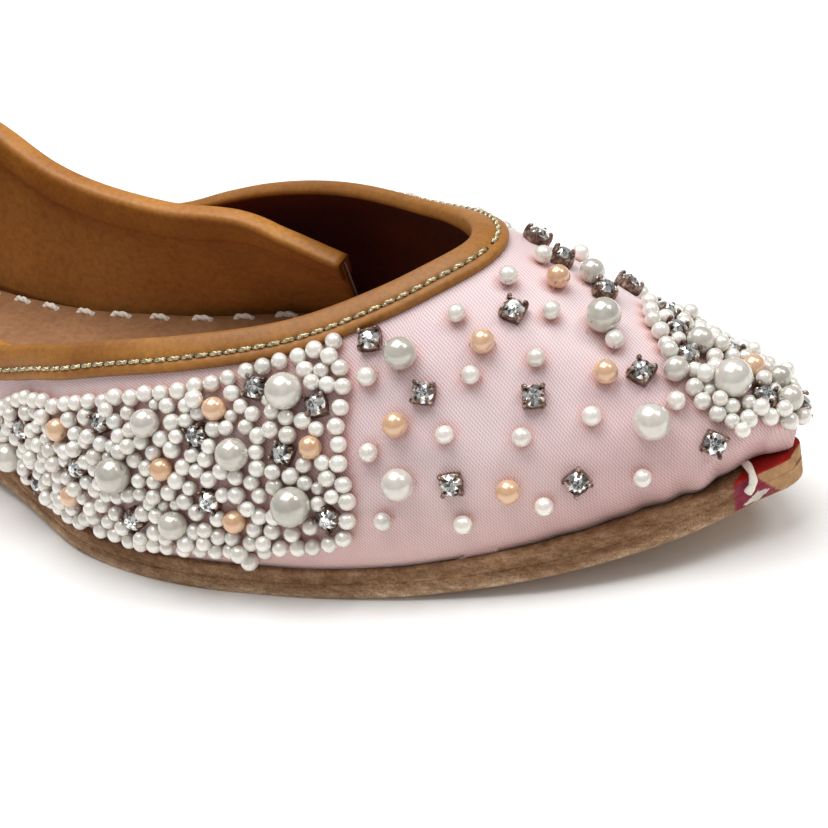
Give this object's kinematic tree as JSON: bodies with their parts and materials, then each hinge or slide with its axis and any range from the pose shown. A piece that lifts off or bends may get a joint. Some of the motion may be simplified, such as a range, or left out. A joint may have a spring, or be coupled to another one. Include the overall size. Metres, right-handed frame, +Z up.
{
  "type": "mojari shoe",
  "caption": "Flat slip-on mojari shoe with a pointed toe: hollow satin and leather upper with bound edges on a layered leather sole with a low heel lift, standing empty.",
  "frame": {"origin": "bottom centre of the whole shoe's box: on the floor, on the centre line, half way along the length", "axes": "+X towards the toe, +Z up, the floor at Z = 0; Y across the shoe"},
  "size_m": [0.2463, 0.084, 0.0633],
  "materials": {
    "sole_leather": "raw vegetable-tanned leather, fibrous cut edge",
    "insole_leather": "smooth brown leather, slightly worn",
    "lining_leather": "smooth brown lining leather",
    "tan_binding": "soft tan leather, semi-matt",
    "painted_leather": "red painted leather at the toe tip",
    "pink_satin": "pale pink satin with a fine diagonal rib",
    "cotton_thread": "thick white cotton",
    "metallic_thread": "twisted silver-gold thread",
    "pearl": "nacre coated imitation pearl",
    "peach_pearl": "peach coated imitation pearl",
    "clear_stone": "cut clear stone with a mirror back",
    "stone_claw": "dark metal claw cup"
  },
  "bodies": {
    "root": {"outsole": "sole_leather", "midsole": "sole_leather", "heel_lift": "sole_leather", "insole": "insole_leather", "upper": "pink_satin", "vamp_binding": "tan_binding", "quarter_binding": "tan_binding"}
  },
  "joints": []
}
